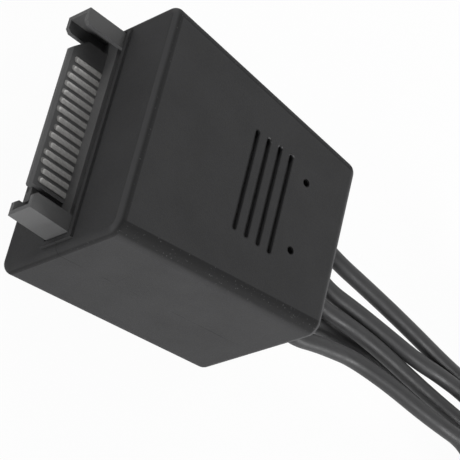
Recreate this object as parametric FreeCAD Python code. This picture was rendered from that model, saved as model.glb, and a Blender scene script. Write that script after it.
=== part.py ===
import FreeCAD, Part
import math
import os

# In-line power splitter for 15-way drive connectors: a moulded plug, five wires and two receptacles.
# Millimetres. +X runs from the plug's mouth to the wires, +Y to the plug's first contact, +Z up.
# The origin is on the floor under the middle of the plug, which lies on one of its grip faces.

# Circuits and contacts, the first at the +Y end
circuit_names = ["3v3", "ground_a", "5v", "ground_b", "12v"]
contacts_per_circuit = 3
contact_pitch = 1.27
contact_width = 0.84
contact_thickness = 0.3
early_contacts = {3, 4, 5, 6, 7, 10, 12, 13}

# Moulded housing
housing_front_width = 33.4
housing_rear_width = 25.5
housing_height = 22.3
housing_length = 33.4
housing_edge_radius = 1.9
housing_front_radius = 1.0
housing_rear_radius = 1.2

# Grip slots and core-pin holes, on both grip faces
grip_slot_count = 4
grip_slot_pitch = 2.0
grip_slot_width = 0.7
grip_slot_length = 14.6
grip_slot_depth = 0.6
grip_slot_from_front = 16.35
grip_shift = 0.2
pin_hole_diameter = 1.0
pin_hole_spacing = 10.0
pin_hole_from_front = 25.6
pin_hole_depth = 3.0

# Collar round the insulator where it leaves the housing
collar_span = 30.7
collar_margin = 0.8
collar_height = 0.4
collar_gap = 0.2
collar_groove_depth = 0.6

# Plug insulator: a base block, a tongue with a key leg, and a guide ear at each end
plug_drop = 1.1
insulator_depth = 8.0
base_reach = 0.5
base_rise = 2.5
ear_reach = 6.3
ear_span = 29.4
ear_shift = 0.2
ear_height = 4.2
ear_drop = 1.15
ear_flange = 2.3
ear_wall = 0.6
ear_lead_in = 0.5
tongue_reach = 5.8
tongue_thickness = 1.2
tongue_first_end = 12.3
tongue_last_end = 9.9
tongue_corner_cut = 2.2
tongue_lead_in = 0.35
key_leg_width = 1.4
key_leg_gap = 0.3
key_leg_setback = 0.9

# Plug terminals
plug_contact_reach = 4.9
plug_contact_early = 0.4
plug_contact_stand = 0.05
plug_contact_tip_radius = 0.35
plug_web_length = 2.0
plug_neck_width = 1.6
cradle_length = 4.5

# Wires, each arc of their path taking this share of the shorter run beside it
wire_diameter = 2.3
wire_embed = 6.0
wire_exit_run = 3.0
arc_share = 0.45

# Receptacles, mouths up, their middles this far behind the housing
receptacle_distances = {"inner": 60.0, "end": 108.0}
receptacle_height = 15.2
receptacle_thickness = 5.6
receptacle_corner_radius = 0.5
receptacle_fit = 0.2
rail_bottom = 7.6
mouth_fit = 0.1
mouth_spare_depth = 0.4
mouth_lead_in = 0.35
cavity_width = 1.0
cavity_depth = 1.15
cavity_bottom = 5.0
cavity_cover = 0.6
beam_offset = 1.3
beam_knee = 8.0
beam_touch = 12.3
beam_tip = 13.5
beam_press = 0.15
beam_flare = 0.4
fork_web = 1.2
fork_bite = 0.8
wire_level = 3.2
cap_overhang = 0.4
cap_edge_radius = 0.4
latch_width = 3.0
latch_wall = 0.8
latch_height = 6.8
latch_hook = 0.4
latch_hook_height = 0.8
small_fit = 0.05
wire_stop = 1.5

# Wire routes to the end receptacle: distance behind the housing, y and height of each point
wire_routes = {
    "3v3": [(8.65, 6.1, 11.3), (15.35, 5.95, 10.5), (24.55, 5.46, 9.6), (37.35, 4.86, 7.6),
            (46.65, 6.6, 4.9), (53.25, 7.62, 3.2), (66.75, 7.62, 3.2), (73.75, 7.1, 1.7),
            (83.75, 6.3, 1.25), (94.25, 6.7, 1.6), (101.25, 7.62, 3.2)],
    "ground_a": [(8.35, 2.0, 10.7), (14.95, 2.28, 10.1), (21.55, 2.2, 9.6), (28.45, 1.85, 9.3),
                 (33.15, 2.4, 8.8), (39.65, 2.8, 8.0), (46.95, 3.5, 5.2), (53.15, 3.81, 3.2),
                 (66.95, 3.81, 3.2), (74.75, 3.4, 1.6), (84.75, 3.0, 1.25), (93.75, 3.3, 1.7),
                 (101.05, 3.81, 3.2)],
    "5v": [(8.15, -1.0, 10.7), (14.75, -0.25, 10.0), (21.35, -0.2, 9.3), (27.85, -0.3, 8.3),
           (33.65, -0.42, 7.4), (39.95, -0.46, 6.5), (46.55, -0.2, 4.6), (53.05, 0.0, 3.2),
           (66.55, 0.0, 3.2), (73.35, 0.2, 1.8), (82.55, -0.2, 1.25), (93.35, -0.5, 1.5),
           (101.45, 0.0, 3.2)],
    "ground_b": [(8.35, -3.9, 10.7), (12.25, -2.8, 9.4), (17.95, -1.2, 7.2), (24.65, -1.9, 5.8),
                 (33.15, -2.4, 4.7), (42.65, -3.0, 3.7), (52.95, -3.81, 3.2), (66.85, -3.81, 3.2),
                 (74.15, -3.5, 1.7), (84.15, -2.9, 1.3), (94.45, -3.3, 1.6), (101.15, -3.81, 3.2)],
    "12v": [(7.0, -6.95, 10.9), (11.5, -5.45, 10.2), (16.75, -3.95, 9.5), (23.75, -3.75, 9.4),
            (30.65, -3.6, 9.0), (41.65, -3.5, 7.6), (47.95, -5.8, 4.9), (53.15, -7.62, 3.2),
            (66.75, -7.62, 3.2), (73.55, -7.2, 1.7), (83.35, -6.1, 1.25), (93.95, -6.6, 1.6),
            (101.35, -7.62, 3.2)],
}

# How near two lengths or directions are to count as the same
near_enough = 0.001

# Places worked out from the sizes
front_x = (ear_reach - housing_length) / 2
rear_x = front_x + housing_length
circuit_pitch = contacts_per_circuit * contact_pitch
contact_count = contacts_per_circuit * len(circuit_names)
wire_radius = wire_diameter / 2
plug_level = housing_height / 2 - plug_drop
tongue_top = plug_level + tongue_thickness / 2
tongue_bottom = plug_level - tongue_thickness / 2
ear_bottom = plug_level - ear_drop
ear_top = ear_bottom + ear_height
base_top = plug_level + base_rise
contact_top = tongue_top + plug_contact_stand
contact_bottom = contact_top - contact_thickness
plug_wire_level = contact_top + wire_radius
wire_start = rear_x - wire_embed
ear_first = ear_shift + ear_span / 2
ear_last = ear_shift - ear_span / 2
leg_side = ear_last + ear_flange + key_leg_gap
contact_group_width = (contacts_per_circuit - 1) * contact_pitch + contact_width
receptacle_width = ear_span - 2 * ear_wall - 2 * receptacle_fit
rail_length = ear_flange - ear_wall
body_width = receptacle_width - 2 * rail_length
rail_thickness = ear_height - 2 * ear_wall - 2 * receptacle_fit
mouth_half = tongue_thickness / 2 + mouth_fit
mouth_bottom = receptacle_height - tongue_reach - mouth_spare_depth
cap_top = wire_level + wire_radius + small_fit
cap_thickness = receptacle_thickness + 2 * cap_overhang
receptacle_x = {name: rear_x + distance for name, distance in receptacle_distances.items()}


def circuit_y(index):
    """Middle of a circuit's three contacts and of its wire."""
    return ((len(circuit_names) - 1) / 2 - index) * circuit_pitch


def contact_y(number):
    """Middle of one contact, numbered from 1."""
    return ((contact_count + 1) / 2 - number) * contact_pitch


def circuit_contacts(index):
    """Numbers of the contacts that belong to a circuit."""
    first = index * contacts_per_circuit + 1
    return range(first, first + contacts_per_circuit)


def block(x0, x1, y0, y1, z0, z1):
    """Plain block between two corners."""
    return Part.makeBox(x1 - x0, y1 - y0, z1 - z0, FreeCAD.Vector(x0, y0, z0))


def prism(points, travel):
    """Solid swept from a flat outline along a straight travel."""
    outline = [FreeCAD.Vector(*point) for point in points]
    face = Part.Face(Part.makePolygon(outline + outline[:1]))
    return face.extrude(FreeCAD.Vector(*travel))


def rod_along_x(radius, x0, x1, y, z):
    """Round bar along X."""
    return Part.makeCylinder(radius, x1 - x0, FreeCAD.Vector(x0, y, z), FreeCAD.Vector(1, 0, 0))


def all_at(edge, axis, place):
    """True if both ends of an edge are at one place on an axis."""
    return all(abs(getattr(end, axis) - place) < near_enough for end in edge.Vertexes)


def rounded_edges(solid, radius, chosen):
    """Rounds the edges of a solid that a test chooses."""
    return solid.makeFillet(radius, [edge for edge in solid.Edges if chosen(edge)])


def rounded_upright(solid, radius):
    """Rounds the upright edges of a block."""
    return rounded_edges(solid, radius,
                         lambda edge: abs(edge.tangentAt(edge.FirstParameter).z) > 1 - near_enough)


def housing_block():
    """Tapered block of the housing with every edge rounded."""
    front = housing_front_width / 2
    rear = housing_rear_width / 2
    plan = [(front_x, -front, 0.0), (rear_x, -rear, 0.0), (rear_x, rear, 0.0), (front_x, front, 0.0)]

    def on_front(edge):
        return all_at(edge, "X", front_x)

    def on_rear(edge):
        return all_at(edge, "X", rear_x)

    whole = prism(plan, (0, 0, housing_height))
    whole = rounded_edges(whole, housing_edge_radius, lambda edge: not on_front(edge) and not on_rear(edge))
    whole = rounded_edges(whole, housing_front_radius, on_front)
    return rounded_edges(whole, housing_rear_radius, on_rear)


def grip_slot(x, face_z, inward):
    """Narrow slot across a grip face, with round ends."""
    half = grip_slot_length / 2 - grip_slot_width / 2
    radius = grip_slot_width / 2
    middle = block(x - radius, x + radius, grip_shift - half, grip_shift + half, 0.0, grip_slot_depth)
    ends = [Part.makeCylinder(radius, grip_slot_depth, FreeCAD.Vector(x, grip_shift + side * half, 0.0))
            for side in (-1, 1)]
    slot = middle.fuse(ends).removeSplitter()
    slot.translate(FreeCAD.Vector(0.0, 0.0, face_z if inward > 0 else face_z - grip_slot_depth))
    return slot


def grip_cuts():
    """Slots and core-pin holes of both grip faces."""
    cuts = []
    for face_z, inward in ((0.0, 1), (housing_height, -1)):
        for index in range(grip_slot_count):
            cuts.append(grip_slot(front_x + grip_slot_from_front + index * grip_slot_pitch, face_z, inward))
        for side in (-1, 1):
            y = grip_shift + side * pin_hole_spacing / 2
            start = FreeCAD.Vector(front_x + pin_hole_from_front, y, face_z)
            cuts.append(Part.makeCylinder(pin_hole_diameter / 2, pin_hole_depth, start,
                                          FreeCAD.Vector(0, 0, inward)))
    return cuts


def round_insulator(gap, x0, x1):
    """Block round the insulator, clear of it by a gap on each side."""
    return block(x0, x1, ear_last - gap, ear_first + gap, ear_bottom - gap, ear_top + gap)


def moulded_housing(inside):
    """Housing with its grips and collar, moulded round the pieces it holds."""
    collar_x = front_x - collar_height
    groove_x = front_x + collar_groove_depth
    collar = block(collar_x, groove_x, -collar_span / 2, collar_span / 2,
                   ear_bottom - collar_margin, ear_top + collar_margin)
    clearance = round_insulator(collar_gap, collar_x, groove_x).cut(round_insulator(0.0, front_x, groove_x))
    body = housing_block().fuse(collar)
    return body.cut([clearance] + grip_cuts()).cut(inside).removeSplitter()


def guide_ear(side):
    """Channel-shaped guide at one end of the tongue, open towards it, its mouth corners cut as a lead-in."""
    outer = ear_first if side > 0 else ear_last
    inner = outer - side * ear_flange
    web = outer - side * ear_wall
    tip_x = front_x - ear_reach
    section = [(inner, ear_top), (outer, ear_top), (outer, ear_bottom), (inner, ear_bottom),
               (inner, ear_bottom + ear_wall), (web, ear_bottom + ear_wall),
               (web, ear_top - ear_wall), (inner, ear_top - ear_wall)]
    ear = prism([(tip_x, y, z) for y, z in section], (ear_reach + insulator_depth, 0, 0))
    corner = prism([(tip_x, inner, ear_bottom), (tip_x + ear_lead_in, inner, ear_bottom),
                    (tip_x, inner + side * ear_lead_in, ear_bottom)], (0, 0, ear_height))
    return ear.cut(corner)


def tongue():
    """Contact tongue with bevelled edges, one cut corner, and the key leg under its last end."""
    tip_x = front_x - tongue_reach
    section = [(front_x, tongue_bottom), (tip_x + tongue_lead_in, tongue_bottom),
               (tip_x, tongue_bottom + tongue_lead_in), (tip_x, tongue_top - tongue_lead_in),
               (tip_x + tongue_lead_in, tongue_top), (front_x, tongue_top)]
    blade = prism([(x, -tongue_last_end, z) for x, z in section], (0, tongue_last_end + tongue_first_end, 0))
    corner = prism([(tip_x, tongue_first_end, tongue_bottom), (tip_x + tongue_corner_cut, tongue_first_end,
                    tongue_bottom), (tip_x, tongue_first_end - tongue_corner_cut, tongue_bottom)],
                   (0, 0, tongue_thickness))
    leg_x = tip_x + key_leg_setback
    step = block(leg_x, front_x, leg_side, -tongue_last_end, tongue_bottom, plug_level)
    leg = block(leg_x, front_x, leg_side, leg_side + key_leg_width, ear_bottom, plug_level)
    return blade.cut(corner).fuse([step, leg])


def plug_insulator(terminals):
    """Insulator in one moulding, with a channel for each terminal."""
    base = block(front_x - base_reach, front_x + insulator_depth, ear_last, ear_first, ear_bottom, base_top)
    whole = base.fuse([tongue(), guide_ear(1), guide_ear(-1)]).removeSplitter()
    return whole.cut(terminals)


def plug_contact(number):
    """One flat contact on the tongue, its tip rounded."""
    reach = plug_contact_reach + (plug_contact_early if number in early_contacts else 0.0)
    tip_x = front_x - reach
    side = contact_y(number) - contact_width / 2
    strip = block(tip_x, front_x + insulator_depth, side, side + contact_width, contact_bottom, contact_top)

    def upright_at_tip(edge):
        return all_at(edge, "X", tip_x) and edge.BoundBox.ZLength > near_enough

    return rounded_edges(strip, plug_contact_tip_radius, upright_at_tip)


def plug_terminal(index):
    """Stamped terminal: three contacts, the web that joins them, a neck and the cradle of the wire."""
    y = circuit_y(index)
    web_x = front_x + insulator_depth
    neck_x = web_x + plug_web_length
    web = block(web_x, neck_x, y - contact_group_width / 2, y + contact_group_width / 2,
                contact_bottom, contact_top)
    neck = block(neck_x, wire_start, y - plug_neck_width / 2, y + plug_neck_width / 2,
                 contact_bottom, contact_top)
    cradle_end = wire_start + cradle_length
    cradle = rod_along_x(wire_radius + contact_thickness, wire_start, cradle_end, y, plug_wire_level)
    cradle = cradle.cut(rod_along_x(wire_radius, wire_start, cradle_end, y, plug_wire_level))
    open_half = block(wire_start, cradle_end, y - wire_diameter, y + wire_diameter,
                      plug_wire_level, plug_wire_level + wire_diameter)
    pieces = [plug_contact(number) for number in circuit_contacts(index)] + [neck, cradle.cut(open_half)]
    return web.fuse(pieces).removeSplitter()


def route_points(index):
    """Every point of a wire's route, from inside the housing to its stop in the end receptacle."""
    y = circuit_y(index)
    leaving = [FreeCAD.Vector(x, y, plug_wire_level) for x in (wire_start, rear_x + wire_exit_run)]
    between = [FreeCAD.Vector(rear_x + distance, side, height)
               for distance, side, height in wire_routes[circuit_names[index]]]
    return leaving + between + [FreeCAD.Vector(receptacle_x["end"] + wire_stop, y, wire_level)]


def wire_tube(index):
    """Wire along straight runs joined by arcs as large as the runs allow. Prints the arcs' radii."""
    points = route_points(index)
    edges = []
    radii = []
    here = points[0]
    for before, corner, after in zip(points, points[1:], points[2:]):
        back = (before - corner).normalize()
        ahead = (after - corner).normalize()
        turn = math.pi - back.getAngle(ahead)
        reach = arc_share * min(before.distanceToPoint(corner), corner.distanceToPoint(after))
        radius = reach / math.tan(turn / 2)
        bisector = (back + ahead).normalize()
        middle = corner + bisector * (radius / math.cos(turn / 2) - radius)
        edges.append(Part.LineSegment(here, corner + back * reach).toShape())
        edges.append(Part.Arc(corner + back * reach, middle, corner + ahead * reach).toShape())
        here = corner + ahead * reach
        radii.append(radius)
    edges.append(Part.LineSegment(here, points[-1]).toShape())
    path = Part.Wire(edges)
    section = Part.Wire(Part.makeCircle(wire_radius, points[0], points[1] - points[0]))
    tube = path.makePipeShell([section], True, True)
    print("wire", circuit_names[index], "length", round(path.Length, 1), "volume share",
          round(tube.Volume / (math.pi * wire_radius ** 2 * path.Length), 4),
          "radii", [round(radius) for radius in radii])
    return tube


def receptacle_contact(x, index):
    """Stamped terminal: a fork over the wire, a web and three sprung beams, each bent towards the mouth."""
    y = circuit_y(index)
    back = x - beam_offset - contact_thickness / 2
    front = back + contact_thickness
    fork = block(back, front, y - contact_group_width / 2, y + contact_group_width / 2,
                 wire_level - fork_bite, cavity_bottom + fork_web)
    grip = rod_along_x(wire_radius + small_fit, back, front, y, wire_level)
    below = block(back, front, y - wire_radius - small_fit, y + wire_radius + small_fit,
                  wire_level - fork_bite, wire_level)
    touch = x - mouth_half + beam_press
    spine = [(back, cavity_bottom), (back, beam_knee), (touch - contact_thickness, beam_touch),
             (touch - contact_thickness - beam_flare, beam_tip)]
    face = [(px + contact_thickness, pz) for px, pz in reversed(spine)]
    beams = [prism([(px, contact_y(number) - contact_width / 2, pz) for px, pz in spine + face],
                   (0, contact_width, 0)) for number in circuit_contacts(index)]
    return fork.cut([grip, below]).fuse(beams).removeSplitter()


def wire_grooves(x, far_reach):
    """Grooves for the five wires in a receptacle's cap, round below and open above."""
    start = x - cap_thickness
    radius = wire_radius + small_fit
    grooves = []
    for index in range(len(circuit_names)):
        y = circuit_y(index)
        grooves.append(rod_along_x(radius, start, x + far_reach, y, wire_level))
        grooves.append(block(start, x + far_reach, y - radius, y + radius, wire_level, cap_top))
    return grooves


def latch_notch(x, side, fit):
    """Space of a latch's hook in the end wall of a receptacle."""
    wall = body_width / 2
    inner = side * (wall - latch_hook - fit)
    outer = side * (wall + small_fit)
    half = latch_width / 2 + fit
    return block(x - half, x + half, min(inner, outer), max(inner, outer),
                 latch_height - latch_hook_height - fit, latch_height + fit)


def over_ears(solid):
    """Moves a receptacle's shell sideways, to fit between the ears of a plug."""
    solid.translate(FreeCAD.Vector(0.0, ear_shift, 0.0))
    return solid


def mouth_cut(x):
    """Mouth for the tongue and its key leg, with a bevelled lead-in."""
    first = tongue_first_end + mouth_fit
    last = leg_side - mouth_fit
    leg_depth = plug_level - ear_bottom + mouth_fit
    slot = block(x - mouth_half, x + mouth_half, last, first, mouth_bottom, receptacle_height)
    leg = block(x - mouth_half, x + leg_depth, last, last + key_leg_width + 2 * mouth_fit, mouth_bottom,
                receptacle_height)

    def rectangle(spread, z):
        low = (x - mouth_half - spread, last - spread)
        high = (x + mouth_half + spread, first + spread)
        corners = [(low[0], low[1], z), (high[0], low[1], z), (high[0], high[1], z), (low[0], high[1], z)]
        return Part.makePolygon([FreeCAD.Vector(*corner) for corner in corners + corners[:1]])

    lead_in = Part.makeLoft([rectangle(0.0, receptacle_height - mouth_lead_in),
                             rectangle(mouth_lead_in, receptacle_height)], True, True)
    return slot.fuse([leg, lead_in])


def receptacle_body(x, contacts):
    """Receptacle moulding: end rails, mouth, a cavity for each contact and notches for the cap's latches."""
    half = receptacle_thickness / 2
    main = block(x - half, x + half, -body_width / 2, body_width / 2, cap_top, receptacle_height)
    main = rounded_upright(main, receptacle_corner_radius)
    rail = block(x - rail_thickness / 2, x + rail_thickness / 2, -receptacle_width / 2, receptacle_width / 2,
                 rail_bottom, receptacle_height)
    notches = [latch_notch(x, side, small_fit) for side in (-1, 1)]
    shell = over_ears(main.fuse(rail).removeSplitter().cut(notches))
    middles = [contact_y(number) for number in range(1, contact_count + 1)]
    cavities = [block(x - mouth_half - cavity_depth, x, y - cavity_width / 2, y + cavity_width / 2,
                      cavity_bottom + fork_web, receptacle_height - cavity_cover) for y in middles]
    return shell.cut([mouth_cut(x)] + cavities).cut(contacts)


def receptacle_cap(x, contacts, far_reach):
    """Back cap with the grooves of the wires and a hooked latch at each end."""
    half = cap_thickness / 2
    reach = body_width / 2 + small_fit + latch_wall
    cap = rounded_upright(block(x - half, x + half, -reach, reach, 0.0, cap_top), cap_edge_radius)
    latches = []
    for side in (-1, 1):
        near = side * (body_width / 2 + small_fit)
        far = side * reach
        latches.append(block(x - latch_width / 2, x + latch_width / 2, min(near, far), max(near, far),
                             0.0, latch_height))
        latches.append(latch_notch(x, side, 0.0))
    shell = over_ears(cap.fuse(latches).removeSplitter())
    return shell.cut(wire_grooves(x, far_reach)).cut(contacts)


def receptacle(name, far_reach):
    """Nodes of one receptacle."""
    x = receptacle_x[name]
    contacts = [receptacle_contact(x, index) for index in range(len(circuit_names))]
    nodes = {name + "_receptacle_body": receptacle_body(x, contacts),
             name + "_receptacle_cap": receptacle_cap(x, contacts, far_reach)}
    for circuit, contact in zip(circuit_names, contacts):
        nodes[name + "_receptacle_contact_" + circuit] = contact
    return nodes


def plug():
    """Nodes of the moulded plug and the five wires."""
    terminals = [plug_terminal(index) for index in range(len(circuit_names))]
    wires = [wire_tube(index) for index in range(len(circuit_names))]
    insulator = plug_insulator(terminals)
    nodes = {"moulded_housing": moulded_housing([insulator] + terminals + wires), "plug_insulator": insulator}
    for circuit, terminal, wire in zip(circuit_names, terminals, wires):
        nodes["plug_terminal_" + circuit] = terminal
        nodes["wire_" + circuit] = wire
    return nodes


def build():
    """Writes every node as a file of its own."""
    os.makedirs("parts", exist_ok=True)
    nodes = plug()
    nodes.update(receptacle("inner", cap_thickness))
    nodes.update(receptacle("end", wire_stop + small_fit))
    for name, shape in nodes.items():
        shape.exportStep("parts/" + name + ".step")


build()
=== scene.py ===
"""Looks of an in-line power splitter cable: a moulded plug, five wires and two receptacles.

Everything is in metres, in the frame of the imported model: +X from the plug's mouth to the wires, +Y to the
plug's first contact and +Z up, with the plug lying on one of its grip faces.
"""

import logging
import math
from dataclasses import dataclass, field, replace
from enum import Enum
from typing import Any, Sequence, Union

import bpy
from mathutils import Matrix, Vector


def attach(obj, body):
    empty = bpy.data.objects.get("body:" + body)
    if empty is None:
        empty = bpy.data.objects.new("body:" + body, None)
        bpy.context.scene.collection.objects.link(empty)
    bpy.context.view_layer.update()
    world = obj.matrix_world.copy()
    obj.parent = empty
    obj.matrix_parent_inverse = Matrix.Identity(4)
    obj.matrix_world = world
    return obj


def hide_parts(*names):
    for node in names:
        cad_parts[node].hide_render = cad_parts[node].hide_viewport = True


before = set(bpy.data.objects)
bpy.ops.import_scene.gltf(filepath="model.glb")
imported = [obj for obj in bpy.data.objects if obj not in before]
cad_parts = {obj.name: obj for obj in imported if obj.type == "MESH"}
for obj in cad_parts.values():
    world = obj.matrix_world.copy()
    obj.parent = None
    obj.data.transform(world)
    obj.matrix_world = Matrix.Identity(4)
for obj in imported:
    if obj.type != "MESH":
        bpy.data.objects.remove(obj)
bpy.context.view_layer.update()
MM = 0.001
BODY = "root"

log = logging.getLogger("splitter")

WHITE = (1.0, 1.0, 1.0, 1.0)

Point = tuple[float, float, float]
Colour = tuple[float, float, float]
Span = tuple[float, float]
Band = tuple[Span, Span]
Input = Union["Value", float, Sequence[float]]


class Circuit(Enum):
    """Circuits of the cable, named as the nodes are, in the order of the contacts."""

    POWER_3V3 = "3v3"
    GROUND_A = "ground_a"
    POWER_5V = "5v"
    GROUND_B = "ground_b"
    POWER_12V = "12v"

    @property
    def place(self) -> int:
        """Steps from the middle circuit towards +Y."""
        return len(Circuit) // 2 - list(Circuit).index(self)


class Slot(Enum):
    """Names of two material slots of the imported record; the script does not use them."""

    JACKET = "wire_jacket"
    CONTACT = "contact_metal"


def scaled(span: Span, size: float) -> Span:
    """Turns a span of shares into lengths.

    Args:
        span: The two shares.
        size: Length that they are shares of.

    Returns:
        The two lengths.
    """
    low, high = span
    return low * size, high * size


@dataclass(frozen=True)
class Value:
    """Output of a shader node that takes part in Python arithmetic.

    Attributes:
        shader: Nodes that it belongs to.
        socket: The node's output.
    """

    shader: "Shader"
    socket: bpy.types.NodeSocket

    def math(self, operation: str, *others: Input) -> "Value":
        """Adds a Math node on this value.

        Args:
            operation: Blender's name of the operation.
            others: Second and third operands.

        Returns:
            The result.
        """
        operands = dict(enumerate((self, *others)))
        return self.shader.value("ShaderNodeMath", {"operation": operation}, operands)

    def between(self, low: float, high: float, first: float = 0.0, last: float = 1.0) -> "Value":
        """Maps a range smoothly to another, held at its ends.

        Args:
            low: Start of the range.
            high: End of the range.
            first: Result at the start.
            last: Result at the end.

        Returns:
            The mapped value.
        """
        inputs = {"Value": self, "From Min": low, "From Max": high, "To Min": first, "To Max": last}
        return self.shader.value("ShaderNodeMapRange", {"interpolation_type": "SMOOTHSTEP"}, inputs)

    def fall(self, low: float, high: float) -> "Value":
        """Falls smoothly from 1 to 0.

        Args:
            low: Where it starts to fall.
            high: Where it reaches 0.

        Returns:
            The mapped value.
        """
        return self.between(low, high, 1.0, 0.0)

    def band(self, shares: Band, radius: float) -> "Value":
        """Rises smoothly from 0 to 1, and falls again.

        Args:
            shares: Where it rises and where it falls, as shares of a radius.
            radius: The radius.

        Returns:
            The mapped value.
        """
        rise, fall = shares
        return self.between(*scaled(rise, radius)) * self.fall(*scaled(fall, radius))

    def __add__(self, other: Input) -> "Value":
        """Sum."""
        return self.math("ADD", other)

    def __sub__(self, other: Input) -> "Value":
        """Difference."""
        return self.math("SUBTRACT", other)

    def __rsub__(self, other: float) -> "Value":
        """Difference with the number first."""
        return (self * -1.0) + other

    def __mul__(self, other: Input) -> "Value":
        """Product."""
        return self.math("MULTIPLY", other)

    def __abs__(self) -> "Value":
        """Size without the sign."""
        return self.math("ABSOLUTE")


class Shader:
    """Shader nodes of a material or a world while they are made.

    The Mix node's sockets repeat their names for each type of data, so those for colours go by number.
    """

    MIX_FIRST = 6
    MIX_LAST = 7
    MIX_RESULT = 2

    def __init__(self, owner: Any, output: str = "ShaderNodeOutputMaterial") -> None:
        """Starts with nothing but an output.

        Args:
            owner: The material or world.
            output: Blender's type of the output.
        """
        owner.use_nodes = True
        self.owner = owner
        self.tree = owner.node_tree
        self.tree.nodes.clear()
        self.output = self.tree.nodes.new(output)

    def node(self, kind: str, settings: dict[str, Any], inputs: dict[Any, Input]) -> bpy.types.Node:
        """Adds a node.

        Args:
            kind: Blender's type of node.
            settings: Properties, set first.
            inputs: Values or links, by the sockets' names or numbers.

        Returns:
            The node.
        """
        made = self.tree.nodes.new(kind)
        for key, value in settings.items():
            setattr(made, key, value)
        for key, value in inputs.items():
            if isinstance(value, Value):
                self.tree.links.new(value.socket, made.inputs[key])
            else:
                made.inputs[key].default_value = value
        return made

    def value(self, kind: str, settings: dict[str, Any], inputs: dict[Any, Input],
              output: Union[int, str] = 0) -> Value:
        """Adds a node and gives one of its outputs.

        Args:
            kind: Blender's type of node.
            settings: Properties of the node.
            inputs: Values or links of its sockets.
            output: Name or number of the output.

        Returns:
            The output.
        """
        return Value(self, self.node(kind, settings, inputs).outputs[output])

    def coordinates(self, stretch: Point = (1.0, 1.0, 1.0)) -> Value:
        """Object coordinates.

        Args:
            stretch: Scale along each axis.

        Returns:
            The scaled coordinates.
        """
        plain = self.value("ShaderNodeTexCoord", {}, {}, "Object")
        return self.value("ShaderNodeMapping", {}, {"Vector": plain, "Scale": stretch})

    def axes(self) -> tuple[Value, Value, Value]:
        """Object coordinates, one by one.

        Returns:
            The coordinates along, across and up.
        """
        split = self.node("ShaderNodeSeparateXYZ", {}, {"Vector": self.coordinates()})
        along, across, height = (Value(self, socket) for socket in split.outputs)
        return along, across, height

    def noise(self, size: float, detail: float = 2.0, rough: float = 0.5,
              stretch: Point = (1.0, 1.0, 1.0)) -> Value:
        """Noise with features of a given size.

        Args:
            size: Rough size of a feature in metres.
            detail: Octaves of finer noise.
            rough: Share of the finer octaves.
            stretch: Scale along each axis.

        Returns:
            The noise from 0 to 1.
        """
        inputs = {"Vector": self.coordinates(stretch), "Scale": 1.0 / size, "Detail": detail,
                  "Roughness": rough}
        return self.value("ShaderNodeTexNoise", {}, inputs, "Fac")

    def mix(self, factor: Input, first: Union[Value, Colour], last: Union[Value, Colour]) -> Value:
        """Mixes two colours.

        Args:
            factor: Share of the last colour.
            first: Colour at 0.
            last: Colour at 1.

        Returns:
            The mixed colour.
        """
        ends = [end if isinstance(end, Value) else (*end, 1.0) for end in (first, last)]
        inputs = {"Factor": factor, self.MIX_FIRST: ends[0], self.MIX_LAST: ends[1]}
        return self.value("ShaderNodeMix", {"data_type": "RGBA"}, inputs, self.MIX_RESULT)

    def bump(self, height: Value, depth: float, under: Union[Value, None] = None) -> Value:
        """Bump of a real depth.

        Args:
            height: Height from 0 to 1.
            depth: Depth in metres.
            under: Bump that this one lies on.

        Returns:
            The normal.
        """
        inputs: dict[Any, Input] = {"Height": height, "Distance": depth, "Strength": 1.0}
        if under is not None:
            inputs["Normal"] = under
        return self.value("ShaderNodeBump", {}, inputs)

    def seen(self) -> Value:
        """Tells what is seen from what only lights the object.

        Returns:
            1 for the camera's rays, reflections and what is seen through glass, and 0 for other light.
        """
        path = self.node("ShaderNodeLightPath", {}, {})
        camera, glossy, through = (Value(self, path.outputs[name]) for name in
                                   ("Is Camera Ray", "Is Glossy Ray", "Is Transmission Ray"))
        return camera + glossy + through

    def end(self, shader: Value) -> Any:
        """Ends the nodes in a shader.

        Args:
            shader: The shader.

        Returns:
            The material or world.
        """
        self.tree.links.new(shader.socket, self.output.inputs["Surface"])
        return self.owner

    def surface(self, inputs: dict[str, Input]) -> bpy.types.Material:
        """Ends the material in a Principled shader.

        Args:
            inputs: Values or links of the shader.

        Returns:
            The material.
        """
        return self.end(self.value("ShaderNodeBsdfPrincipled", {}, inputs))


def shade(colour: Colour, factor: float) -> Colour:
    """Darkens or lightens a colour.

    Args:
        colour: The colour.
        factor: Multiplier of each channel.

    Returns:
        The changed colour.
    """
    red, green, blue = (channel * factor for channel in colour)
    return (red, green, blue)


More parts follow.
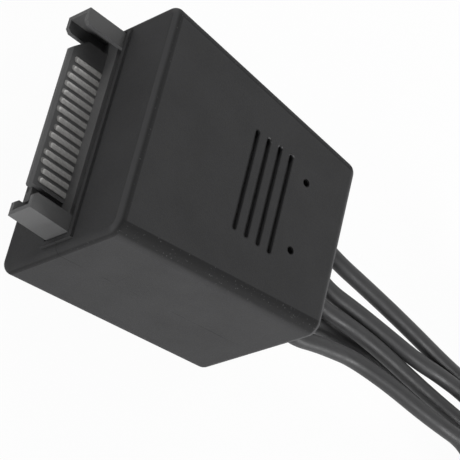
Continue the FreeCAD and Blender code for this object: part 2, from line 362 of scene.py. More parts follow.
@dataclass(frozen=True)
class BlockForm:
    """Form of the housing, a block that narrows towards its rear and has rounded edges.

    Attributes:
        front: Place of the front face along X.
        rear: Place of the rear face along X.
        front_half: Half of the width at the front.
        rear_half: Half of the width at the rear.
        radius: Radius of the long edges.
        front_radius: Radius of the edges round the front face.
        rear_radius: Radius of the edges round the rear face.
        parting: Height of the mould's parting line.
        top: Height of the upper grip face.
        middle: Place of the grip's middle across the block.
        slots: Number of grip slots.
        first_slot: Place of the first slot along X.
        slot_pitch: Distance between neighbouring slots.
        slot_half: Half of a slot's length.
        slot_radius: Half of a slot's width.
        pin_place: Place of the two pin holes along X.
        pin_offset: Distance of a pin hole from the grip's middle.
        pin_radius: Radius of the spot of painted shade at a pin hole.
        skin: Depths under the grip face between which its marks fade in.
        rim_fade: Shares of a slot's radius over which its rim of painted shade fades out.
        end_fade: Shares of a slot's radius over which the painted highlight at its end fades out.
        end_length: Length of the painted highlight at a slot's end.
        pin_fade: Shares of a spot's radius over which its painted shade fades out.
        long_band: Where the mask of the long edges rises and falls, as shares of their radius.
        long_start: Shares of the front radius over which the long edges begin.
        inner_band: Band of the inner part of the front rounding, as shares of its radius.
        outer_band: Band of the outer part of the front rounding, as shares of its radius.
        outer_depth: Depths under the grip face between which that part fades in, as shares of the radius.
        ridge_band: Band of the painted highlight on the ridge round the rear face, as shares of its radius.
        wave: Length of the parting line's waves.
        sway: Height of those waves.
        piece: Length of the pieces that the line is broken into.
        piece_span: Span of the noise over which a piece shows.
        line_fade: Distances from the line's middle between which it fades out.
    """

    front: float = -13.55 * MM
    rear: float = 19.85 * MM
    front_half: float = 16.7 * MM
    rear_half: float = 12.75 * MM
    radius: float = 1.9 * MM
    front_radius: float = 1.0 * MM
    rear_radius: float = 1.2 * MM
    parting: float = 11.0 * MM
    top: float = 22.3 * MM
    middle: float = 0.2 * MM
    slots: int = 4
    first_slot: float = 2.8 * MM
    slot_pitch: float = 2.0 * MM
    slot_half: float = 7.3 * MM
    slot_radius: float = 0.35 * MM
    pin_place: float = 12.05 * MM
    pin_offset: float = 5.0 * MM
    pin_radius: float = 0.6 * MM
    skin: Span = (0.25 * MM, 0.05 * MM)
    rim_fade: Span = (1.2, 1.6)
    end_fade: Span = (1.0, 1.8)
    end_length: float = 0.6 * MM
    pin_fade: Span = (0.85, 1.0)
    long_band: Band = ((0.02, 0.2), (0.86, 0.97))
    long_start: Span = (0.5, 1.0)
    inner_band: Band = ((0.4, 0.65), (1.0, 1.2))
    outer_band: Band = ((0.01, 0.06), (0.25, 0.5))
    outer_depth: Span = (2.0, 1.0)
    ridge_band: Band = ((0.02, 0.1), (0.55, 0.8))
    wave: float = 4 * MM
    sway: float = 0.12 * MM
    piece: float = 5 * MM
    piece_span: Span = (0.45, 0.6)
    line_fade: Span = (0.03 * MM, 0.11 * MM)

    def near_grip(self, height: Value, depths: Span) -> Value:
        """Mask of what lies close under the grip face.

        Args:
            height: Height of the surface.
            depths: Depths under the face between which the mask rises.

        Returns:
            1 at the face and 0 below it.
        """
        deep, shallow = depths
        return height.between(self.top - deep, self.top - shallow)

    def slot_rims(self, shader: Shader) -> tuple[Value, Value]:
        """Masks of the painted shade on the rims of the grip slots and of the painted highlight at their
        ends.

        Args:
            shader: The material.

        Returns:
            1 on the rims and 0 off them, and the same for their ends towards +Y.
        """
        along, across, height = shader.axes()
        step = ((along - self.first_slot) * (1.0 / self.slot_pitch)).math("ROUND")
        step = step.math("MAXIMUM", 0.0).math("MINIMUM", self.slots - 1.0)
        off = along - step * self.slot_pitch - self.first_slot
        beyond = (abs(across - self.middle) - (self.slot_half - self.slot_radius)).math("MAXIMUM", 0.0)
        reach = (off * off + beyond * beyond).math("SQRT")
        high = self.near_grip(height, self.skin)
        rim = reach.fall(*scaled(self.rim_fade, self.slot_radius)) * high
        wide = reach.fall(*scaled(self.end_fade, self.slot_radius)) * high
        return rim, wide * (across - self.middle).between(self.slot_half - self.end_length, self.slot_half)

    def pin_spots(self, shader: Shader) -> Value:
        """Mask of the painted shade at the pin holes.

        Args:
            shader: The material.

        Returns:
            1 on the spots and 0 off them.
        """
        along, across, height = shader.axes()
        ahead = along - self.pin_place
        aside = abs(across - self.middle) - self.pin_offset
        reach = (ahead * ahead + aside * aside).math("SQRT")
        return reach.fall(*scaled(self.pin_fade, self.pin_radius)) * self.near_grip(height, self.skin)

    def long_edges(self, shader: Shader) -> Value:
        """Mask of the rounded long edges, where shade is painted.

        Args:
            shader: The material.

        Returns:
            1 on the rounding and 0 off it.
        """
        along, across, _ = shader.axes()
        taper = (self.front_half - self.rear_half) / (self.rear - self.front)
        half = along * -taper + (self.front_half + self.front * taper)
        rounded = (half - abs(across)).band(self.long_band, self.radius)
        return rounded * (along - self.front).between(*scaled(self.long_start, self.front_radius))

    def front_edges(self, shader: Shader) -> tuple[Value, Value]:
        """Masks of the rounding round the front face, which takes painted shade on its inner part and a
        painted highlight on its outer part.

        Args:
            shader: The material.

        Returns:
            1 on the inner part of the rounding and 0 off it, and the same for its outer part, which shows
            at the grip face alone.
        """
        along, _, height = shader.axes()
        inward = along - self.front
        inner = inward.band(self.inner_band, self.front_radius)
        outer = inward.band(self.outer_band, self.front_radius)
        outer = outer * self.near_grip(height, scaled(self.outer_depth, self.front_radius))
        return inner, outer

    def rear_edges(self, shader: Shader) -> Value:
        """Mask of the painted highlight on the ridge round the rear face.

        Args:
            shader: The material.

        Returns:
            1 on the ridge and 0 off it.
        """
        along, _, _ = shader.axes()
        return (self.rear - along).band(self.ridge_band, self.rear_radius)

    def parting_line(self, shader: Shader) -> Value:
        """Fine broken line where the mould's halves met.

        Args:
            shader: The material.

        Returns:
            1 on the line and 0 off it.
        """
        _, _, height = shader.axes()
        waved = height + shader.noise(size=self.wave) * self.sway
        off = abs(waved - (self.parting + self.sway / 2))
        pieces = shader.noise(size=self.piece, detail=1.0, stretch=(1.0, 1.0, 0.0)).between(*self.piece_span)
        return off.fall(*self.line_fade) * pieces


@dataclass(frozen=True)
class HousingMarks:
    """Painted shade and painted highlights on the housing's edges, slots and pin holes, and its mould's
    parting line. Each shade is a share of the plain colour.

    Attributes:
        form: The housing's form.
        dark: Painted shade on the rounded edges and the slot rims.
        bright: Shade of the light specks in the painted edge shade and of the painted highlight on the ridge
            round the rear face.
        outer: Painted highlight on the outer part of the front rounding.
        glint: Painted highlight at the slots' ends.
        pin: Painted shade in the pin holes.
        line: Shade of the parting line.
        inner_cover: Cover of the painted shade on the inner part of the front rounding.
        rim_cover: Cover of the painted shade on the slot rims.
        line_cover: Cover of the parting line.
        line_depth: Depth of the parting line.
        glint_size: Size of the spots that the painted highlights break into.
        glint_span: Span of the noise over which those spots show.
    """

    form: BlockForm
    dark: float = 0.45
    bright: float = 1.8
    outer: float = 1.5
    glint: float = 3.5
    pin: float = 0.2
    line: float = 0.3
    inner_cover: float = 0.75
    rim_cover: float = 0.6
    line_cover: float = 0.45
    line_depth: float = 0.03 * MM
    glint_size: float = 0.4 * MM
    glint_span: Span = (0.5, 0.65)

    def colour(self, shader: Shader, plain: Colour, colour: Value, speck: Value) -> Value:
        """Paints shade and highlights into the colour, and marks the parting line.

        Args:
            shader: The material.
            plain: The plastic's mean colour.
            colour: The colour to mark.
            speck: Mask of the specks.

        Returns:
            The marked colour.
        """
        dark = shade(plain, self.dark)
        bright = shade(plain, self.bright)
        # Painted shade on the rounded edges, broken by light specks.
        painted_shade_with_specks = shader.mix(speck, dark, bright)
        # Painted shade on the inner part of the front rounding and a painted highlight on its outer part.
        inner, outer = self.form.front_edges(shader)
        # Painted shade on the slot rims and painted highlights at their ends.
        rim, end = self.form.slot_rims(shader)
        spots = shader.noise(size=self.glint_size, detail=0.0).between(*self.glint_span)
        for cover, mark in ((self.form.long_edges(shader), painted_shade_with_specks), (inner * self.inner_cover, painted_shade_with_specks),
                            # Painted highlight on the ridge round the rear face.
                            (outer, shade(plain, self.outer)), (self.form.rear_edges(shader), bright),
                            (rim * self.rim_cover, dark), (end * spots, shade(plain, self.glint)),
                            # Painted shade in the pin holes.
                            (self.form.pin_spots(shader), shade(plain, self.pin)),
                            (self.form.parting_line(shader) * self.line_cover, shade(plain, self.line))):
            colour = shader.mix(cover, colour, mark)
        return colour

    def normal(self, shader: Shader, normal: Value) -> Value:
        """Sinks the parting line.

        Args:
            shader: The material.
            normal: Normal of the plain surface.

        Returns:
            The new normal.
        """
        return shader.bump(1.0 - self.form.parting_line(shader), self.line_depth, normal)


@dataclass(frozen=True)
class MouldedPlastic:
    """Dark plastic with the fine pitted texture of its mould.

    Attributes:
        name: The material's name.
        colour: Mean colour.
        roughness: Mean roughness.
        specular: Level of the plain reflection.
        grain: Size of the mould texture's pits.
        grain_depth: Depth of the pits.
        marks: Painted shade, painted highlights and mould marks, or None.
        mottle: Share by which the colour varies.
        cloud: Size of the colour's clouds.
        cloud_share: Share of the clouds in the colour, where the pits have the rest.
        tone_span: Span of both over which the colour varies.
        speck: Size of the specks, in grains.
        speck_span: Span of the noise over which specks show.
        speck_gloss: How much less rough a speck is.
        pit_span: Span of the pits over which the roughness varies.
        swing: How much rougher or smoother a pit is.
    """

    name: str
    colour: Colour
    roughness: float
    specular: float
    grain: float
    grain_depth: float
    marks: Union[HousingMarks, None] = None
    mottle: float = 0.12
    cloud: float = 6 * MM
    cloud_share: float = 0.55
    tone_span: Span = (0.25, 0.75)
    speck: float = 1.7
    speck_span: Span = (0.66, 0.8)
    speck_gloss: float = 0.08
    pit_span: Span = (0.2, 0.8)
    swing: float = 0.06

    def material(self) -> bpy.types.Material:
        """Makes the material.

        Returns:
            The material.
        """
        shader = Shader(bpy.data.materials.new(self.name))
        cloud = shader.noise(size=self.cloud, detail=3.0)
        pits = shader.noise(size=self.grain, detail=3.0, rough=0.65)
        speck = shader.noise(size=self.speck * self.grain, detail=1.0).between(*self.speck_span)
        tone = (cloud * self.cloud_share + pits * (1 - self.cloud_share)).between(*self.tone_span)
        colour = shader.mix(tone, shade(self.colour, 1 - self.mottle), shade(self.colour, 1 + self.mottle))
        rough = pits.between(*self.pit_span, self.roughness + self.swing, self.roughness - self.swing)
        normal = shader.bump(pits, self.grain_depth)
        if self.marks is not None:
            colour = self.marks.colour(shader, self.colour, colour, speck)
            normal = self.marks.normal(shader, normal)
        return shader.surface({"Base Color": colour, "Roughness": rough - speck * self.speck_gloss,
                               "Normal": normal, "Specular IOR Level": self.specular})


@dataclass(frozen=True)
class LinedSurface:
    """Surface with fine lines along X and dull spots, such as a drawn jacket or rolled metal.

    Attributes:
        name: The material's name.
        colour: Mean colour.
        roughness: Mean roughness.
        line: Width of the lines.
        line_stretch: Scale of the lines' noise along X.
        line_share: Share of the lines in the colour, where the spots have the rest.
        spot: Size of the spots.
        spot_detail: Octaves of the spots' noise.
        spot_rough: Share of its finer octaves.
        shades: Least and greatest share of the colour.
        swing: Change of the roughness from the lowest to the highest of the spots' noise.
        bump_share: Share of the lines in the bump, where the spots have the rest.
        bump_depth: Depth of the bump.
        specular: Level of the plain reflection.
        metallic: 1 for metal.
        span: Span of the noises over which the surface varies.
    """

    name: str
    colour: Colour
    roughness: float
    line: float
    line_stretch: float
    line_share: float
    spot: float
    spot_detail: float
    spot_rough: float
    shades: Span
    swing: Span
    bump_share: float
    bump_depth: float
    specular: float = 0.5
    metallic: float = 0.0
    span: Span = (0.3, 0.7)

    def material(self) -> bpy.types.Material:
        """Makes the material.

        Returns:
            The material.
        """
        shader = Shader(bpy.data.materials.new(self.name))
        lines = shader.noise(size=self.line, detail=2.0, stretch=(self.line_stretch, 1.0, 1.0))
        spots = shader.noise(size=self.spot, detail=self.spot_detail, rough=self.spot_rough)
        tone = (lines * self.line_share + spots * (1 - self.line_share)).between(*self.span)
        least, greatest = (shade(self.colour, share) for share in self.shades)
        first, last = (self.roughness + change for change in self.swing)
        height = lines * self.bump_share + spots * (1 - self.bump_share)
        return shader.surface({"Base Color": shader.mix(tone, least, greatest),
                               "Roughness": spots.between(*self.span, first, last),
                               "Normal": shader.bump(height, self.bump_depth),
                               "Specular IOR Level": self.specular, "Metallic": self.metallic})


@dataclass(frozen=True)
class PaleFloor:
    """White floor that keeps a light shadow.

    Attributes:
        name: The material's name.
        colour: Colour of the floor under plain light.
        glow: Share of plain white seen by the camera and by reflections.
    """

    name: str
    colour: Colour
    glow: float

    def material(self) -> bpy.types.Material:
        """Makes the material.

        Returns:
            The material.
        """
        shader = Shader(bpy.data.materials.new(self.name))
        plain = shader.value("ShaderNodeBsdfDiffuse", {}, {"Color": (*self.colour, 1.0)})
        white = shader.value("ShaderNodeEmission", {}, {"Color": WHITE, "Strength": 1.0})
        return shader.end(shader.value("ShaderNodeMixShader", {},
                                       {0: shader.seen() * self.glow, 1: plain, 2: white}))


HOUSING_FINISH = MouldedPlastic(
    "housing_moulding", (0.044, 0.044, 0.045), roughness=0.68, specular=0.08,
    grain=0.16 * MM, grain_depth=0.02 * MM, marks=HousingMarks(BlockForm()))
INSULATOR_FINISH = MouldedPlastic(
    "insulator_moulding", (0.11, 0.11, 0.111), roughness=0.55, specular=0.15,
    grain=0.1 * MM, grain_depth=0.006 * MM)
RECEPTACLE_FINISH = MouldedPlastic(
    "receptacle_moulding", (0.046, 0.046, 0.047), roughness=0.68, specular=0.08,
    grain=0.12 * MM, grain_depth=0.006 * MM)
JACKET_FINISH = LinedSurface(
    "wire_jacket", (0.036, 0.036, 0.037), roughness=0.48, specular=0.18,
    line=0.35 * MM, line_stretch=0.04, line_share=0.5, spot=2.5 * MM, spot_detail=4.0, spot_rough=0.7,
    shades=(0.86, 1.16), swing=(-0.05, 0.08), bump_share=0.7, bump_depth=0.012 * MM)
CONTACT_FINISH = LinedSurface(
    "contact_plating", (0.18, 0.178, 0.173), roughness=0.5, metallic=1.0,
    line=0.12 * MM, line_stretch=0.05, line_share=0.4, spot=0.6 * MM, spot_detail=3.0, spot_rough=0.6,
    shades=(0.84, 1.14), swing=(0.08, -0.08), bump_share=0.6, bump_depth=0.008 * MM)
FACING_FINISH = replace(CONTACT_FINISH, name="facing_plating", colour=(0.27, 0.267, 0.26), roughness=0.58)
FLOOR_FINISH = PaleFloor("pale_floor", (0.88, 0.88, 0.88), glow=0.96)


def dress(node: str, material: bpy.types.Material) -> None:
    """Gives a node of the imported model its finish.

    Args:
        node: Name of the node.
        material: The finish.
    """
    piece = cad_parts[node]
    piece.data.materials.clear()
    piece.data.materials.append(material)
    log.info("dressed %s with %s", node, material.name)


def add_piece(name: str, data: bpy.types.ID) -> bpy.types.Object:
    """Adds a piece of the object at the origin.

    Args:
        name: Name of the piece.
        data: Its mesh or curve, in place.

    Returns:
        The new object, riding on the cable's body.
    """
    piece = bpy.data.objects.new(name, data)
    bpy.context.scene.collection.objects.link(piece)
    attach(piece, BODY)
    log.info("made %s", name)
    return piece


class GeometryTree:
    """A Geometry Nodes tree while its nodes are made."""

    def __init__(self, name: str, sizes: dict[str, str]) -> None:
        """Starts a tree with a geometry at each end and named inputs.

        Args:
            name: The tree's name.
            sizes: Socket type of each named input.
        """
        self.group = bpy.data.node_groups.new(name, "GeometryNodeTree")
        face = self.group.interface
        face.new_socket("Geometry", in_out="INPUT", socket_type="NodeSocketGeometry")
        for label, kind in sizes.items():
            face.new_socket(label, in_out="INPUT", socket_type=kind)
        face.new_socket("Geometry", in_out="OUTPUT", socket_type="NodeSocketGeometry")
        self.start = self.group.nodes.new("NodeGroupInput")
        self.end = self.group.nodes.new("NodeGroupOutput")

    def size(self, label: str) -> bpy.types.NodeSocket:
        """Gives a named input.

        Args:
            label: The input's name.

        Returns:
            Its socket.
        """
        return self.start.outputs[label]

    def add(self, kind: str, settings: dict[str, Any], inputs: dict[Any, Any],
            output: Union[int, str] = 0) -> bpy.types.NodeSocket:
        """Adds a node.

        Args:
            kind: Blender's type of node.
            settings: Properties, set first.
            inputs: Values or sockets to link.
            output: Name or number of the output to give.

        Returns:
            The output.
        """
        made = self.group.nodes.new(kind)
        for key, value in settings.items():
            setattr(made, key, value)
        for key, value in inputs.items():
            if isinstance(value, bpy.types.NodeSocket):
                self.group.links.new(value, made.inputs[key])
            else:
                made.inputs[key].default_value = value
        return made.outputs[output]

    def math(self, operation: str, *operands: Any) -> bpy.types.NodeSocket:
        """Adds a Math node.

        Args:
            operation: Blender's name of the operation.
            operands: Numbers or sockets.

        Returns:
            The result.
        """
        return self.add("ShaderNodeMath", {"operation": operation}, dict(enumerate(operands)))

    def finish(self, geometry: bpy.types.NodeSocket) -> None:
        """Ends the tree in plain geometry of one material.

        Args:
            geometry: What the tree made, instances among it.
        """
        plain = self.add("GeometryNodeRealizeInstances", {}, {"Geometry": geometry})
        coated = self.add("GeometryNodeSetMaterial", {}, {"Geometry": plain, "Material": self.size("Finish")})
        self.group.links.new(coated, self.end.inputs["Geometry"])

    def mesh(self, name: str, start: bpy.types.ID, values: dict[str, Any]) -> bpy.types.Mesh:
        """Runs the tree.

        Args:
            name: Name of the new mesh.
            start: Mesh or curve that the tree works on.
            values: Value of each named input.

        Returns:
            A plain mesh.
        """
        holder = bpy.data.objects.new(name + "_holder", start)
        bpy.context.scene.collection.objects.link(holder)
        modifier = holder.modifiers.new(name, "NODES")
        modifier.node_group = self.group
        for socket in self.group.interface.items_tree:
            if socket.name in values:
                modifier[socket.identifier] = values[socket.name]
        graph = bpy.context.evaluated_depsgraph_get()
        made = bpy.data.meshes.new_from_object(holder.evaluated_get(graph))
        made.name = name
        holder.modifiers.remove(modifier)
        bpy.data.objects.remove(holder)
        return made


@dataclass
class Wires:
    """Five wires between the plug's housing and the end receptacle.

    Attributes:
        diameter: Diameter over the jacket.
        pitch: Distance between neighbouring wires in the connectors.
        start: Place along X where the wires begin inside the housing.
        exit: Place along X where they leave it.
        exit_run: Straight run behind the housing.
        exit_level: Height of the wires in the housing.
        stop: Place along X where they end in the end receptacle.
        stop_level: Height of the wires in the receptacles.
        steps: Steps of the curve between two points of a route.
        roundness: Blender's bevel resolution of the round section.
        lengths: Length of each wire; not used.
        routes: Points of each route after the straight run, in millimetres from the housing's rear along X,
            and in millimetres across and up.
    """

    diameter: float = 2.3 * MM
    pitch: float = 3.81 * MM
    start: float = 13.85 * MM
    exit: float = 19.85 * MM
    exit_run: float = 3.0 * MM
    exit_level: float = 11.85 * MM
    stop: float = 129.35 * MM
    stop_level: float = 3.2 * MM
    steps: int = 10
    roundness: int = 8
    lengths: dict[Circuit, float] = field(default_factory=lambda: {
        Circuit.POWER_3V3: 117.0 * MM, Circuit.GROUND_A: 117.0 * MM, Circuit.POWER_5V: 116.6 * MM,
        Circuit.GROUND_B: 117.1 * MM, Circuit.POWER_12V: 117.9 * MM})
    routes: dict[Circuit, list[Point]] = field(default_factory=lambda: {
        Circuit.POWER_3V3: [
            (8.65, 6.3, 11.3), (15.35, 6.13, 10.5), (24.55, 5.52, 9.6), (37.35, 4.86, 7.6), (46.65, 6.6, 4.9),
            (53.25, 7.62, 3.2), (66.75, 7.62, 3.2), (73.75, 7.1, 1.7), (83.75, 6.3, 1.25), (94.25, 6.7, 1.6),
            (101.25, 7.62, 3.2)],
        Circuit.GROUND_A: [
            (8.35, 2.0, 10.7), (14.95, 2.28, 10.1), (21.55, 2.2, 9.6), (28.45, 1.85, 9.3), (33.15, 2.4, 8.8),
            (39.65, 2.8, 8.0), (46.95, 3.5, 5.2), (53.15, 3.81, 3.2), (66.95, 3.81, 3.2), (74.75, 3.4, 1.6),
            (84.75, 3.0, 1.25), (93.75, 3.3, 1.7), (101.05, 3.81, 3.2)],
        Circuit.POWER_5V: [
            (8.15, -1.0, 10.7), (14.75, -0.25, 10.0), (21.35, -0.2, 9.3), (27.85, -0.3, 8.3),
            (33.65, -0.5, 7.55), (40.4, -0.76, 7.0), (48.5, -0.4, 5.7), (55.0, 0.0, 3.2), (66.55, 0.0, 3.2),
            (73.35, 0.2, 1.8), (82.55, -0.2, 1.25), (93.35, -0.5, 1.5), (101.45, 0.0, 3.2)],
        Circuit.GROUND_B: [
            (8.2, -2.88, 9.4), (12.05, -1.74, 8.12), (16.25, -0.83, 7.1), (20.55, -0.05, 6.25),
            (25.5, 0.59, 5.4), (30.13, 0.6, 4.9), (34.76, 0.4, 4.5), (39.46, 0.3, 4.1), (45.0, -0.1, 3.7),
            (50.0, -2.8, 3.2), (56.0, -3.81, 3.2), (66.85, -3.81, 3.2), (74.15, -3.5, 1.7),
            (84.15, -2.9, 1.3), (94.45, -3.3, 1.6), (101.15, -3.81, 3.2)],
        Circuit.POWER_12V: [
            (5.0, -7.65, 11.4), (9.0, -6.2, 10.78), (12.3, -5.15, 10.1), (16.75, -4.0, 9.5),
            (23.75, -4.0, 9.4), (30.65, -4.35, 9.0), (35.3, -4.4, 8.7), (41.4, -4.1, 8.1),
            (48.3, -5.8, 5.4), (54.0, -7.62, 3.2), (66.75, -7.62, 3.2), (73.55, -7.2, 1.7),
            (83.35, -6.1, 1.25), (93.95, -6.6, 1.6), (101.35, -7.62, 3.2)]})

    def points(self, circuit: Circuit) -> list[Vector]:
        """Route of a wire from inside the housing to its stop.

        Args:
            circuit: The wire's circuit.

        Returns:
            The points in metres.
        """
        side = circuit.place * self.pitch
        first = Vector((self.start, side, self.exit_level))
        straight = Vector((self.exit + self.exit_run, side, self.exit_level))
        rear = Vector((self.exit, 0.0, 0.0))
        last = Vector((self.stop, side, self.stop_level))
        return [first, straight] + [rear + Vector(point) * MM for point in self.routes[circuit]] + [last]

    def curve(self, circuit: Circuit) -> bpy.types.Curve:
        """Round curve along a wire's route.

        Args:
            circuit: The wire's circuit.

        Returns:
            The curve.
        """
        line = bpy.data.curves.new("wire_" + circuit.value + "_line", "CURVE")
        line.dimensions = "3D"
        line.resolution_u = self.steps
        line.bevel_depth = self.diameter / 2
        line.bevel_resolution = self.roundness
        line.use_fill_caps = True
        spline = line.splines.new("NURBS")
        points = self.points(circuit)
        spline.points.add(len(points) - 1)
        for control, point in zip(spline.points, points):
            control.co = (*point, 1.0)
        spline.order_u = 3
        spline.use_endpoint_u = True
        spline.use_smooth = True
        return line

    def build(self, jacket: bpy.types.Material) -> None:
        """Makes each wire as a round curve in place of the imported node; the names of the parts it meets are
        gathered but not used.

        Args:
            jacket: Finish of the wires.
        """
        for circuit in Circuit:
            line = self.curve(circuit)
            line.materials.append(jacket)
            node = "wire_" + circuit.value
            piece = add_piece(node + "_jacket", line)
            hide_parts(node)
            carried = [place.contact(circuit) for place in RECEPTACLES]
            if circuit is Circuit.POWER_5V:
                carried += [name for place in RECEPTACLES for name in place.mouldings()]


@dataclass
class Receptacle:
    """One receptacle on the wires.

    Attributes:
        name: First word of its nodes' names.
    """

    name: str

    def contact(self, circuit: Circuit) -> str:
        """Name of the node of a circuit's contact.

        Args:
            circuit: The circuit.

        Returns:
            The name.
        """
        return f"{self.name}_receptacle_contact_{circuit.value}"

    def mouldings(self) -> list[str]:
        """Names of the nodes of its body and cap.

        Returns:
            The names.
        """
        return [f"{self.name}_receptacle_body", f"{self.name}_receptacle_cap"]

    def dress(self, plastic: bpy.types.Material, plating: bpy.types.Material) -> None:
        """Gives the receptacle its finishes.

        Args:
            plastic: Finish of the mouldings.
            plating: Finish of the contacts.
        """
        for node in self.mouldings():
            dress(node, plastic)
        for circuit in Circuit:
            dress(self.contact(circuit), plating)


RECEPTACLES = (Receptacle("inner"), Receptacle("end"))


@dataclass
class Plug:
    """Moulded plug with its insulator and contacts.

    Attributes:
        contacts: Number of contacts.
        pitch: Distance between neighbouring contacts.
        front: Place of the insulator's base along X, where the open part of a contact ends.
        tip: Place of a contact's tip along X.
        early: Further reach of the contacts that meet first.
        early_contacts: Numbers of those contacts.
        level: Height of the contacts' upper faces.
        facing_width: Width of the crowned facing on a contact.
        facing_crown: Height of the facing.
        tip_gap: Distance of a facing's end from the contact's tip.
        facing_steps: Steps along a facing.
        facing_sides: Sides of its round section.
        facing_point: Share of its width left at the tip.
    """

    contacts: int = 15
    pitch: float = 1.27 * MM
    front: float = -14.07 * MM
    tip: float = -18.45 * MM
    early: float = 0.4 * MM
    early_contacts: tuple[int, ...] = (3, 4, 5, 6, 7, 10, 12, 13)
    level: float = 10.7 * MM
    facing_width: float = 0.76 * MM
    facing_crown: float = 0.06 * MM
    tip_gap: float = 0.28 * MM
    facing_steps: int = 60
    facing_sides: int = 16
    facing_point: float = 0.02

    def facing_tips(self) -> bpy.types.Mesh:
        """Places of the facings' tips.

        Returns:
            A mesh with one vertex for each.
        """
        tips = []
        for number in range(1, self.contacts + 1):
            reach = self.early if number in self.early_contacts else 0.0
            across = ((self.contacts + 1) / 2 - number) * self.pitch
            tips.append((self.tip - reach + self.tip_gap, across, self.level))
        mesh = bpy.data.meshes.new("facing_tips")
        mesh.from_pydata(tips, [], [])
        return mesh

    def facing_tree(self) -> GeometryTree:
        """Makes the tree that lays a crowned strip with a round tip from each vertex to the base.

        Returns:
            The tree.
        """
        sizes = {"Front": "NodeSocketFloat", "Length": "NodeSocketFloat", "Width": "NodeSocketFloat",
                 "Crown": "NodeSocketFloat", "Finish": "NodeSocketMaterial"}
        tree = GeometryTree("contact_facings", sizes)
        half = tree.math("MULTIPLY", tree.size("Width"), 0.5)
        end = tree.add("ShaderNodeCombineXYZ", {}, {"X": tree.size("Length")})
        line = tree.add("GeometryNodeCurvePrimitiveLine", {}, {"End": end})
        spine = tree.add("GeometryNodeResampleCurve", {}, {"Curve": line, "Count": self.facing_steps})
        run = tree.add("GeometryNodeSplineParameter", {}, {}, "Length")
        short = tree.math("MAXIMUM", tree.math("SUBTRACT", 1.0, tree.math("DIVIDE", run, half)), 0.0)
        bulge = tree.math("SQRT", tree.math("SUBTRACT", 1.0, tree.math("MULTIPLY", short, short)))
        ring = tree.add("GeometryNodeCurvePrimitiveCircle", {},
                        {"Resolution": self.facing_sides, "Radius": half})
        bar = tree.add("GeometryNodeCurveToMesh", {},
                       {"Curve": spine, "Profile Curve": ring, "Fill Caps": True,
                        "Scale": tree.math("MAXIMUM", bulge, self.facing_point)})
        flat = tree.add("ShaderNodeCombineXYZ", {},
                        {"X": 1.0, "Y": 1.0, "Z": tree.math("DIVIDE", tree.size("Crown"), half)})
        strip = tree.add("GeometryNodeTransform", {}, {"Geometry": bar, "Scale": flat})
        place = tree.add("GeometryNodeInputPosition", {}, {})
        ahead = tree.add("ShaderNodeSeparateXYZ", {}, {"Vector": place}, "X")
        open_run = tree.math("SUBTRACT", tree.size("Front"), ahead)
        stretch = tree.add("ShaderNodeCombineXYZ", {},
                           {"X": tree.math("DIVIDE", open_run, tree.size("Length")), "Y": 1.0, "Z": 1.0})
        tree.finish(tree.add("GeometryNodeInstanceOnPoints", {},
                             {"Points": tree.size("Geometry"), "Instance": strip, "Scale": stretch}))
        return tree

    def build(self, facing: bpy.types.Material) -> None:
        """Makes the crowned facings of the contacts.

        Args:
            facing: Their finish.
        """
        values = {"Front": self.front, "Length": self.front - self.tip, "Width": self.facing_width,
                  "Crown": self.facing_crown, "Finish": facing}
        mesh = self.facing_tree().mesh("contact_facings", self.facing_tips(), values)
        mesh.shade_smooth()
        add_piece("contact_facings", mesh)

    def dress(self, housing: bpy.types.Material, insulator: bpy.types.Material,
              plating: bpy.types.Material) -> None:
        """Gives the plug its finishes.

        Args:
            housing: Finish of the housing.
            insulator: Finish of the insulator.
            plating: Finish of the terminals.
        """
        dress("moulded_housing", housing)
        dress("plug_insulator", insulator)
        for circuit in Circuit:
            dress("plug_terminal_" + circuit.value, plating)


@dataclass(frozen=True)
class SoftLamp:
    """Square lamp that looks at the plug.

    Attributes:
        name: The lamp's name.
        direction: Direction from the plug to the lamp.
        size: Side of the lamp.
        level: Light on a surface that faces the lamp, where 1 shows a colour as it is written.
        distance: Distance from the plug.
    """

    name: str
    direction: Point
    size: float
    level: float
    distance: float = 0.45

    def build(self, target: Vector) -> None:
        """Makes the lamp.

        Args:
            target: Point that it looks at.
        """
        data = bpy.data.lights.new(self.name, "AREA")
        data.shape = "SQUARE"
        data.size = self.size
        data.energy = self.level * math.pi ** 2 * self.distance ** 2
        lamp = bpy.data.objects.new(self.name, data)
        toward = Vector(self.direction).normalized()
        lamp.location = target + toward * self.distance
        lamp.rotation_mode = "QUATERNION"
        lamp.rotation_quaternion = toward.to_track_quat("Z", "Y")
        bpy.context.scene.collection.objects.link(lamp)


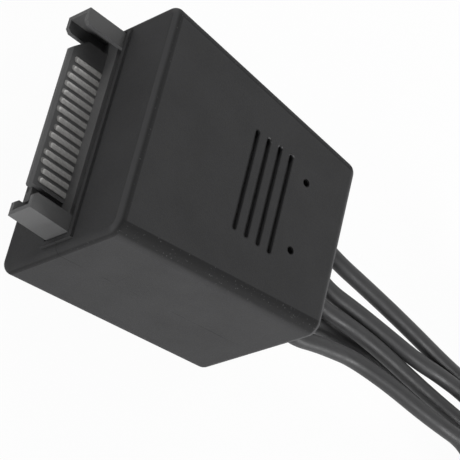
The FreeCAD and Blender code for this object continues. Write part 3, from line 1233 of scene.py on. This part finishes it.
@dataclass
class Studio:
    """Camera, pale floor and soft light.

    Attributes:
        eye: Place of the camera.
        right: Direction of the picture's right side.
        up: Direction of the picture's top.
        lens: Focal length in millimetres.
        sensor: Width of the sensor in millimetres.
        nearest: Distance at which the camera starts to see.
        farthest: Distance at which it stops.
        floor_side: Side of the floor.
        sky: Light of the surroundings on the object.
        target: Point that the lamps look at.
        lamps: The lamps.
    """

    eye: Point = (-142.39 * MM, -148.39 * MM, 215.51 * MM)
    right: Point = (0.702, 0.2117, 0.680)
    up: Point = (-0.4891, 0.8373, 0.2443)
    lens: float = 182.19
    sensor: float = 36.0
    nearest: float = 0.01
    farthest: float = 20.0
    floor_side: float = 6.0
    sky: float = 0.05
    target: Point = (10 * MM, 0.0, 10 * MM)
    lamps: tuple[SoftLamp, ...] = (
        SoftLamp("front_low", (-0.45, -0.88, 0.16), size=0.13, level=0.55),
        SoftLamp("rear_low", (0.85, -0.45, 0.28), size=0.12, level=0.85),
        SoftLamp("rear_high", (0.45, 0.4, 0.8), size=0.2, level=0.12),
        SoftLamp("far_side", (0.1, 0.85, 0.5), size=0.2, level=0.44),
        SoftLamp("far_front", (-0.55, 0.75, 0.35), size=0.2, level=0.26))

    def camera(self) -> None:
        """Makes the camera at the photograph's viewing angle."""
        data = bpy.data.cameras.new("camera")
        data.sensor_width = self.sensor
        data.lens = self.lens
        data.clip_start = self.nearest
        data.clip_end = self.farthest
        camera = bpy.data.objects.new("camera", data)
        right = Vector(self.right).normalized()
        back = right.cross(Vector(self.up)).normalized()
        up = back.cross(right)
        turn = Matrix((right, up, back)).transposed().to_4x4()
        camera.matrix_world = Matrix.Translation(self.eye) @ turn
        bpy.context.scene.collection.objects.link(camera)
        bpy.context.scene.camera = camera

    def floor(self, finish: bpy.types.Material) -> None:
        """Lays the floor.

        Args:
            finish: The floor's material.
        """
        half = self.floor_side / 2
        mesh = bpy.data.meshes.new("floor")
        corners = [(-half, -half, 0.0), (half, -half, 0.0), (half, half, 0.0), (-half, half, 0.0)]
        mesh.from_pydata(corners, [], [(0, 1, 2, 3)])
        mesh.materials.append(finish)
        plane = bpy.data.objects.new("floor", mesh)
        bpy.context.scene.collection.objects.link(plane)

    def surroundings(self) -> None:
        """Sets a plain sky, white where it is seen and dim where it lights the object."""
        world = bpy.data.worlds.new("surroundings")
        shader = Shader(world, "ShaderNodeOutputWorld")
        lit, seen = (shader.value("ShaderNodeBackground", {}, {"Color": WHITE, "Strength": strength})
                     for strength in (self.sky, 1.0))
        shader.end(shader.value("ShaderNodeMixShader", {}, {0: shader.seen(), 1: lit, 2: seen}))
        bpy.context.scene.world = world

    def light(self) -> None:
        """Makes the lamps and the surroundings."""
        for lamp in self.lamps:
            lamp.build(Vector(self.target))
        self.surroundings()
        bpy.context.scene.view_settings.view_transform = "Standard"


def main() -> None:
    """Builds the camera and the cable's pieces in order, then the studio round them."""
    logging.basicConfig(level=logging.INFO, format="%(name)s: %(message)s")
    studio = Studio()
    studio.camera()
    plating = CONTACT_FINISH.material()
    plastic = RECEPTACLE_FINISH.material()
    Wires().build(JACKET_FINISH.material())
    plug = Plug()
    plug.build(FACING_FINISH.material())
    plug.dress(HOUSING_FINISH.material(), INSULATOR_FINISH.material(), plating)
    for place in RECEPTACLES:
        place.dress(plastic, plating)
    studio.floor(FLOOR_FINISH.material())
    studio.light()


if __name__ == "__main__":
    main()
